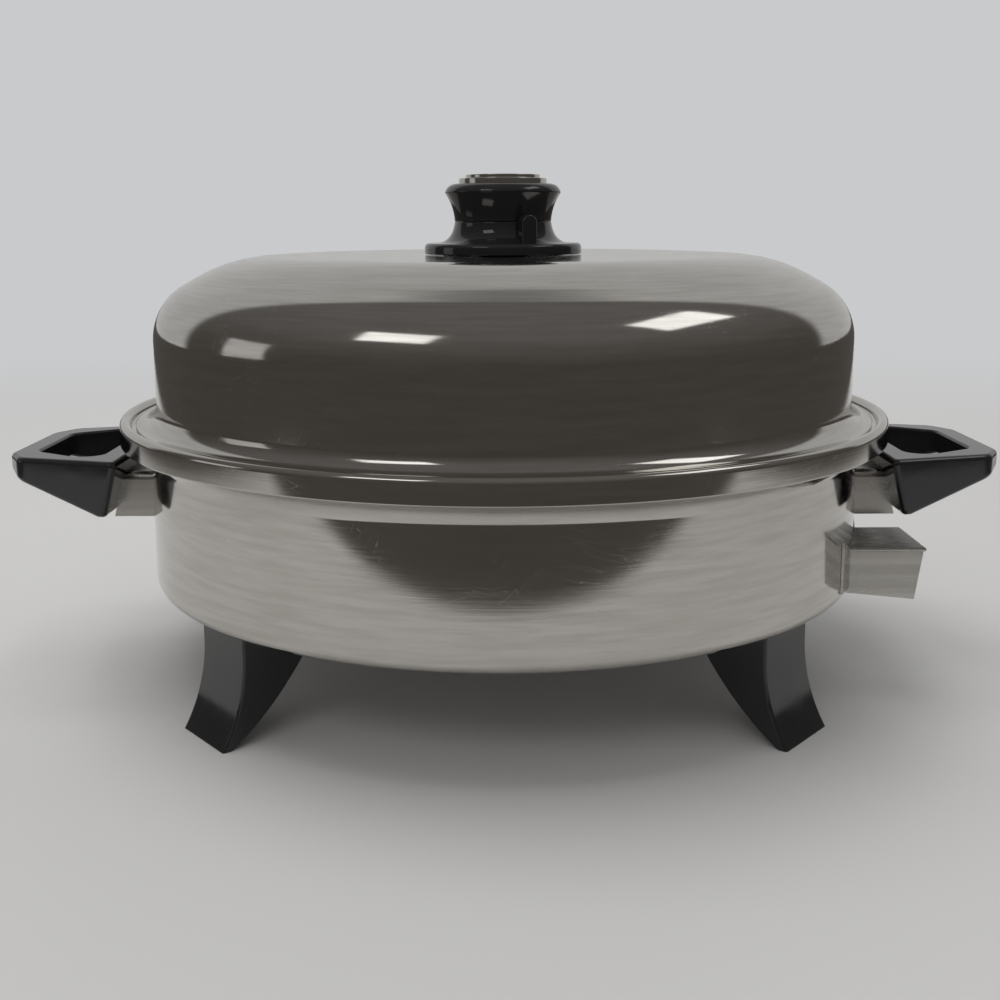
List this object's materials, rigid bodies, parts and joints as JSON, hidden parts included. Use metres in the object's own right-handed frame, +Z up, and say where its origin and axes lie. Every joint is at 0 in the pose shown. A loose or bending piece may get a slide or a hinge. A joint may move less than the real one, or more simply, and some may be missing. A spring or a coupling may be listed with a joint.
{
  "type": "electric skillet",
  "caption": "Round electric skillet on legs with loop handles, a plug-in heat socket and a loose domed lid with a vented knob.",
  "frame": {"origin": "on the pan axis at the floor that the legs stand on", "axes": "+Z up, +X towards the handle on the socket side, -Y towards the front"},
  "size_m": [0.4, 0.311, 0.2047],
  "materials": {
    "polished_steel": "polished stainless steel with a fine level grain and light scratches",
    "bracket_steel": "satin stainless steel",
    "plated_steel": "zinc plated steel",
    "cap_metal": "polished stainless steel",
    "spreader_aluminium": "plain aluminium",
    "element_sheath": "dark oxidised sheath",
    "pin_metal": "plain nickel plated metal",
    "brass_insert": "plain brass",
    "ceramic": "unglazed ceramic",
    "gloss_black": "glossy black moulded phenolic",
    "leg_black": "semi-gloss black moulded phenolic"
  },
  "bodies": {
    "pan": {"inner_pan": "polished_steel", "outer_shell": "polished_steel", "heat_spreader": "spreader_aluminium", "heating_element": "element_sheath", "terminal_pins": "pin_metal", "terminal_bushings": "ceramic", "terminal_block": "ceramic", "probe_tube": "pin_metal", "socket_shroud": "bracket_steel", "shroud_rivets": "bracket_steel", "front_left_leg": "leg_black", "front_right_leg": "leg_black", "rear_left_leg": "leg_black", "rear_right_leg": "leg_black", "leg_studs": "plated_steel", "leg_nuts": "plated_steel", "left_handle_bracket": "bracket_steel", "right_handle_bracket": "bracket_steel", "left_handle_grip": "gloss_black", "right_handle_grip": "gloss_black", "handle_rivets": "plated_steel", "handle_screws": "plated_steel", "handle_inserts": "brass_insert"},
    "lid": {"lid_dome": "polished_steel", "knob_grip": "gloss_black", "knob_cap": "cap_metal", "knob_insert": "brass_insert", "knob_bolt": "plated_steel", "knob_washer": "plated_steel"},
    "vent": {"vent_collar": "gloss_black", "vent_shutter": "bracket_steel"}
  },
  "joints": [
    {"name": "lid_lift", "type": "slide", "parent": "pan", "child": "lid", "axis": [0, 0, 1], "range_m": [0, 0.15]},
    {"name": "vent_turn", "type": "hinge", "parent": "lid", "child": "vent", "pos_m": [0, 0, 0.1725], "axis": [0, 0, 1], "range_deg": [-45, 0]}
  ]
}
